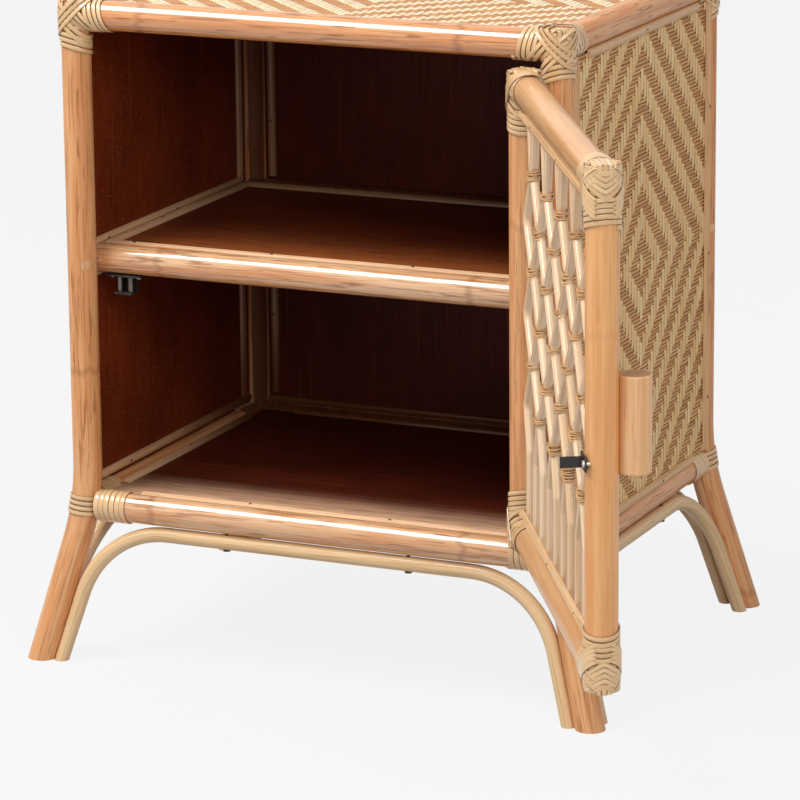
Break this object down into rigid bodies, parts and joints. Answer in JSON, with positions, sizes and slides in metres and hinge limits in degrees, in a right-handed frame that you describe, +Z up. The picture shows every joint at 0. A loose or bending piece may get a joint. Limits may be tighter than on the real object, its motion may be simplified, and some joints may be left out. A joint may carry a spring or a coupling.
{
  "type": "rattan storage side table",
  "caption": "Rattan side table with a dark-lined cupboard and shelf, a hinged cane lattice door with a pole handle, woven side panels and splayed legs with slim bent arches.",
  "frame": {"origin": "on the floor, under the middle of the cabinet's four posts", "axes": "+X to the right seen from the front, +Y to the back, +Z up; the door opening faces -Y"},
  "size_m": [0.7508, 0.795, 0.6223],
  "materials": {
    "rattan_pole": "lacquered rattan pole, glossy, with darker streaks and nodes",
    "bent_cane": "peeled cane rod, satin",
    "lattice_cane": "peeled cane rod, satin",
    "binding_cane": "split cane strip, satin",
    "bead_cane": "half-round split cane, satin",
    "woven_cane": "twill of split cane over darker splints, satin",
    "stained_board": "dark red-brown stained plywood, semi-gloss",
    "plug_wood": "turned wooden plug, lacquered",
    "black_metal": "black japanned steel, semi-gloss",
    "roller_steel": "bright plated steel",
    "screw_steel": "zinc plated steel",
    "hinge_steel": "dull brass-coloured plated steel"
  },
  "bodies": {
    "cabinet": {"arch_back": "bent_cane", "arch_front": "bent_cane", "arch_left": "bent_cane", "arch_right": "bent_cane", "arch_screws": "black_metal", "back_beads": "bead_cane", "back_board": "stained_board", "back_weave": "woven_cane", "bottom_bindings": "binding_cane", "bottom_board": "stained_board", "bottom_rail_back": "rattan_pole", "bottom_rail_front": "rattan_pole", "bottom_rail_left": "rattan_pole", "bottom_rail_right": "rattan_pole", "catch_body": "black_metal", "catch_pins": "roller_steel", "catch_screws": "screw_steel", "hinge_leaves_post": "hinge_steel", "hinge_pins": "hinge_steel", "hinge_screws_post": "hinge_steel", "inner_beads": "bead_cane", "post_front_left": "rattan_pole", "post_front_right": "rattan_pole", "post_rear_left": "rattan_pole", "post_rear_right": "rattan_pole", "shelf_board": "stained_board", "shelf_cleats": "bead_cane", "shelf_plugs": "plug_wood", "shelf_rail_back": "rattan_pole", "shelf_rail_front": "rattan_pole", "shelf_screws": "screw_steel", "side_beads_left": "bead_cane", "side_beads_right": "bead_cane", "side_board_left": "stained_board", "side_board_right": "stained_board", "side_weave_left": "woven_cane", "side_weave_right": "woven_cane", "top_beads": "bead_cane", "top_bindings": "binding_cane", "top_board": "stained_board", "top_rail_back": "rattan_pole", "top_rail_front": "rattan_pole", "top_rail_left": "rattan_pole", "top_rail_right": "rattan_pole", "top_weave": "woven_cane"},
    "door": {"door_beads": "bead_cane", "door_bindings": "binding_cane", "door_handle": "rattan_pole", "door_rail_bottom": "rattan_pole", "door_rail_top": "rattan_pole", "door_rods": "lattice_cane", "door_stile_free": "rattan_pole", "door_stile_hinge": "rattan_pole", "door_strike": "black_metal", "door_ties": "binding_cane", "hinge_leaves_door": "hinge_steel", "hinge_screws_door": "hinge_steel", "strike_screw": "screw_steel"},
    "catch_roller_left": {"catch_roller_left": "roller_steel"},
    "catch_roller_right": {"catch_roller_right": "roller_steel"}
  },
  "joints": [
    {"name": "door_hinge", "type": "hinge", "parent": "cabinet", "child": "door", "pos_m": [0.2184, -0.1925, 0.3765], "axis": [0, 0, 1], "range_deg": [-121, 29]},
    {"name": "roller_left_spin", "type": "hinge", "parent": "cabinet", "child": "catch_roller_left", "pos_m": [-0.2102, -0.1534, 0.3532], "axis": [0, 0, 1], "continuous": true},
    {"name": "roller_right_spin", "type": "hinge", "parent": "cabinet", "child": "catch_roller_right", "pos_m": [-0.199, -0.1534, 0.3532], "axis": [0, 0, 1], "continuous": true}
  ]
}
